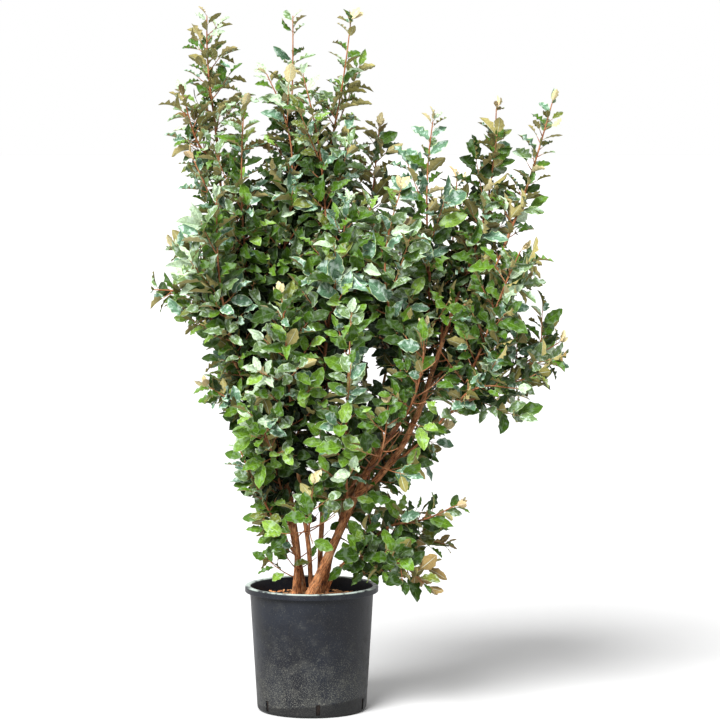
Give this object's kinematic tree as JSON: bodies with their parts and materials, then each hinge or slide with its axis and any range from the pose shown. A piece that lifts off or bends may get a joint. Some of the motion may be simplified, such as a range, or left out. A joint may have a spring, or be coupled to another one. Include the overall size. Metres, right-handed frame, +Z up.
{
  "type": "potted evergreen shrub",
  "caption": "Ebbinges silverberry, an evergreen shrub with leaning stems and tall leafy shoots, growing in a round black nursery pot filled with soil.",
  "frame": {"origin": "centre of the pot's flat underside, where the plant stands on the ground", "axes": "+Z up along the plant's height, +X to the plant's right as it is usually seen, -Y its front"},
  "size_m": [1.0989, 0.766, 1.8421],
  "materials": {
    "pot_plastic": "black moulded polypropylene, dusty and slightly satin",
    "soil": "moist potting soil with bark chips",
    "bark": "reddish brown bark, fine scaly",
    "foliage": "leathery green leaves with silvery scales, olive-brown underneath"
  },
  "bodies": {
    "root": {"bough_centre_front": "bark", "bough_centre_leader": "bark", "bough_far_left": "bark", "bough_far_right": "bark", "bough_left_out": "bark", "bough_left_tall": "bark", "bough_right_centre": "bark", "bough_right_outer": "bark", "bough_right_thin": "bark", "bough_right_upper": "bark", "leaves_back_centre": "foliage", "leaves_back_far_right": "foliage", "leaves_back_left": "foliage", "leaves_back_low_right": "foliage", "leaves_back_right": "foliage", "leaves_centre_front": "foliage", "leaves_centre_leader": "foliage", "leaves_centre_left_shoot": "foliage", "leaves_centre_thin": "foliage", "leaves_far_left": "foliage", "leaves_far_left_shoot": "foliage", "leaves_far_right_shoot": "foliage", "leaves_far_right_side": "foliage", "leaves_front_left": "foliage", "leaves_front_left_low": "foliage", "leaves_front_low": "foliage", "leaves_front_shoot": "foliage", "leaves_left_bottom": "foliage", "leaves_left_front_upper": "foliage", "leaves_left_inner_shoot": "foliage", "leaves_left_leader": "foliage", "leaves_left_low": "foliage", "leaves_left_shoulder": "foliage", "leaves_left_under": "foliage", "leaves_low_right": "foliage", "leaves_low_right_hanging": "foliage", "leaves_low_right_middle": "foliage", "leaves_right_back_shoot": "foliage", "leaves_right_centre_leader": "foliage", "leaves_right_centre_shoot": "foliage", "leaves_right_front": "foliage", "leaves_right_front_low": "foliage", "leaves_right_front_upper": "foliage", "leaves_right_leader": "foliage", "leaves_right_low_side": "foliage", "leaves_right_middle": "foliage", "leaves_right_shoulder": "foliage", "leaves_right_under": "foliage", "leaves_right_upper_shoot": "foliage", "leaves_upper_left": "foliage", "pot": "pot_plastic", "soil": "soil", "stem_back_left": "bark", "stem_back_right": "bark", "stem_centre": "bark", "stem_centre_right": "bark", "stem_left": "bark", "stem_left_inner": "bark", "stem_low_right": "bark", "stem_right": "bark"}
  },
  "joints": []
}
